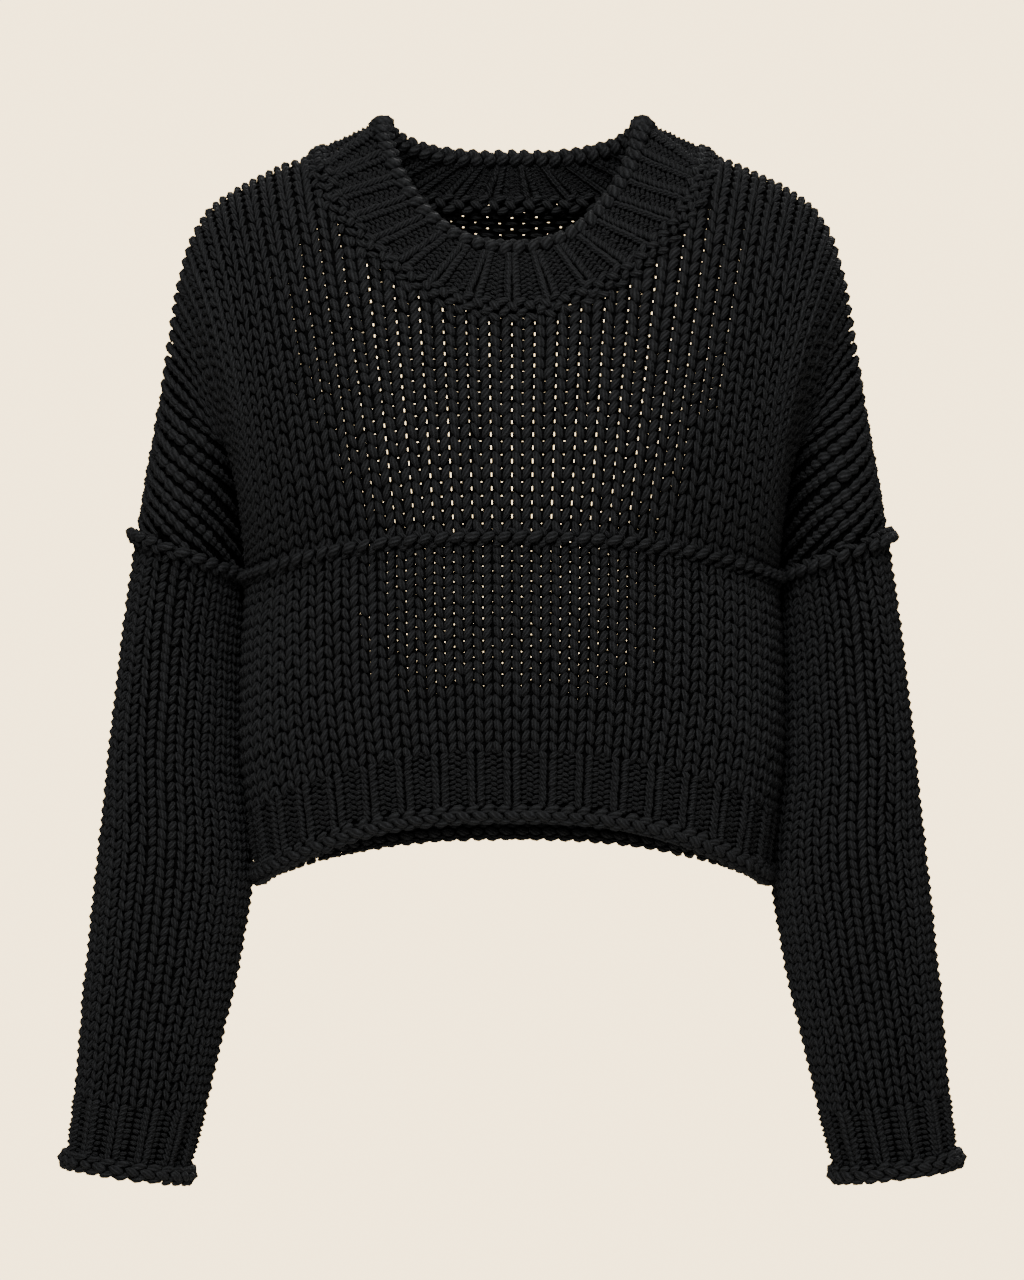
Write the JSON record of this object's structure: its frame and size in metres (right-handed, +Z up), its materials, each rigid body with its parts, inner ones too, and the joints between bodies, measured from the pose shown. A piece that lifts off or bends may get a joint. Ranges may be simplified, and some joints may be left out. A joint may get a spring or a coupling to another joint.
{
  "type": "cropped knit sweater",
  "caption": "Cropped bulky-knit pullover with a ribbed crew neck, dropped shoulders, chained outside seams and long sleeves, filled out as if worn.",
  "frame": {"origin": "between the shoulders at the base of the neck, halfway from front to back, where a wearer's neck and shoulders hold the sweater up", "axes": "+Z up, +X towards the wearer's left, -Y the front"},
  "size_m": [0.5612, 0.236, 0.663],
  "materials": {
    "knit": "matt cotton-like yarn in plain knitting",
    "rib": "matt cotton-like yarn in knit-one purl-one rib",
    "cast_off": "matt cotton-like yarn, rolled cast-off edge",
    "seam_chain": "matt cotton-like yarn, slanted chain over a seam"
  },
  "bodies": {
    "root": {"front_yoke": "knit", "front_panel": "knit", "front_hem_rib": "rib", "front_hem_edge": "cast_off", "front_chest_seam": "seam_chain", "back_yoke": "knit", "back_panel": "knit", "back_hem_rib": "rib", "back_hem_edge": "cast_off", "back_chest_seam": "seam_chain", "left_sleeve": "knit", "left_cuff": "rib", "left_cuff_edge": "cast_off", "left_sleeve_seam": "seam_chain", "right_sleeve": "knit", "right_cuff": "rib", "right_cuff_edge": "cast_off", "right_sleeve_seam": "seam_chain", "neckband": "rib", "neckband_edge": "cast_off", "neckband_seam": "seam_chain"}
  },
  "joints": []
}
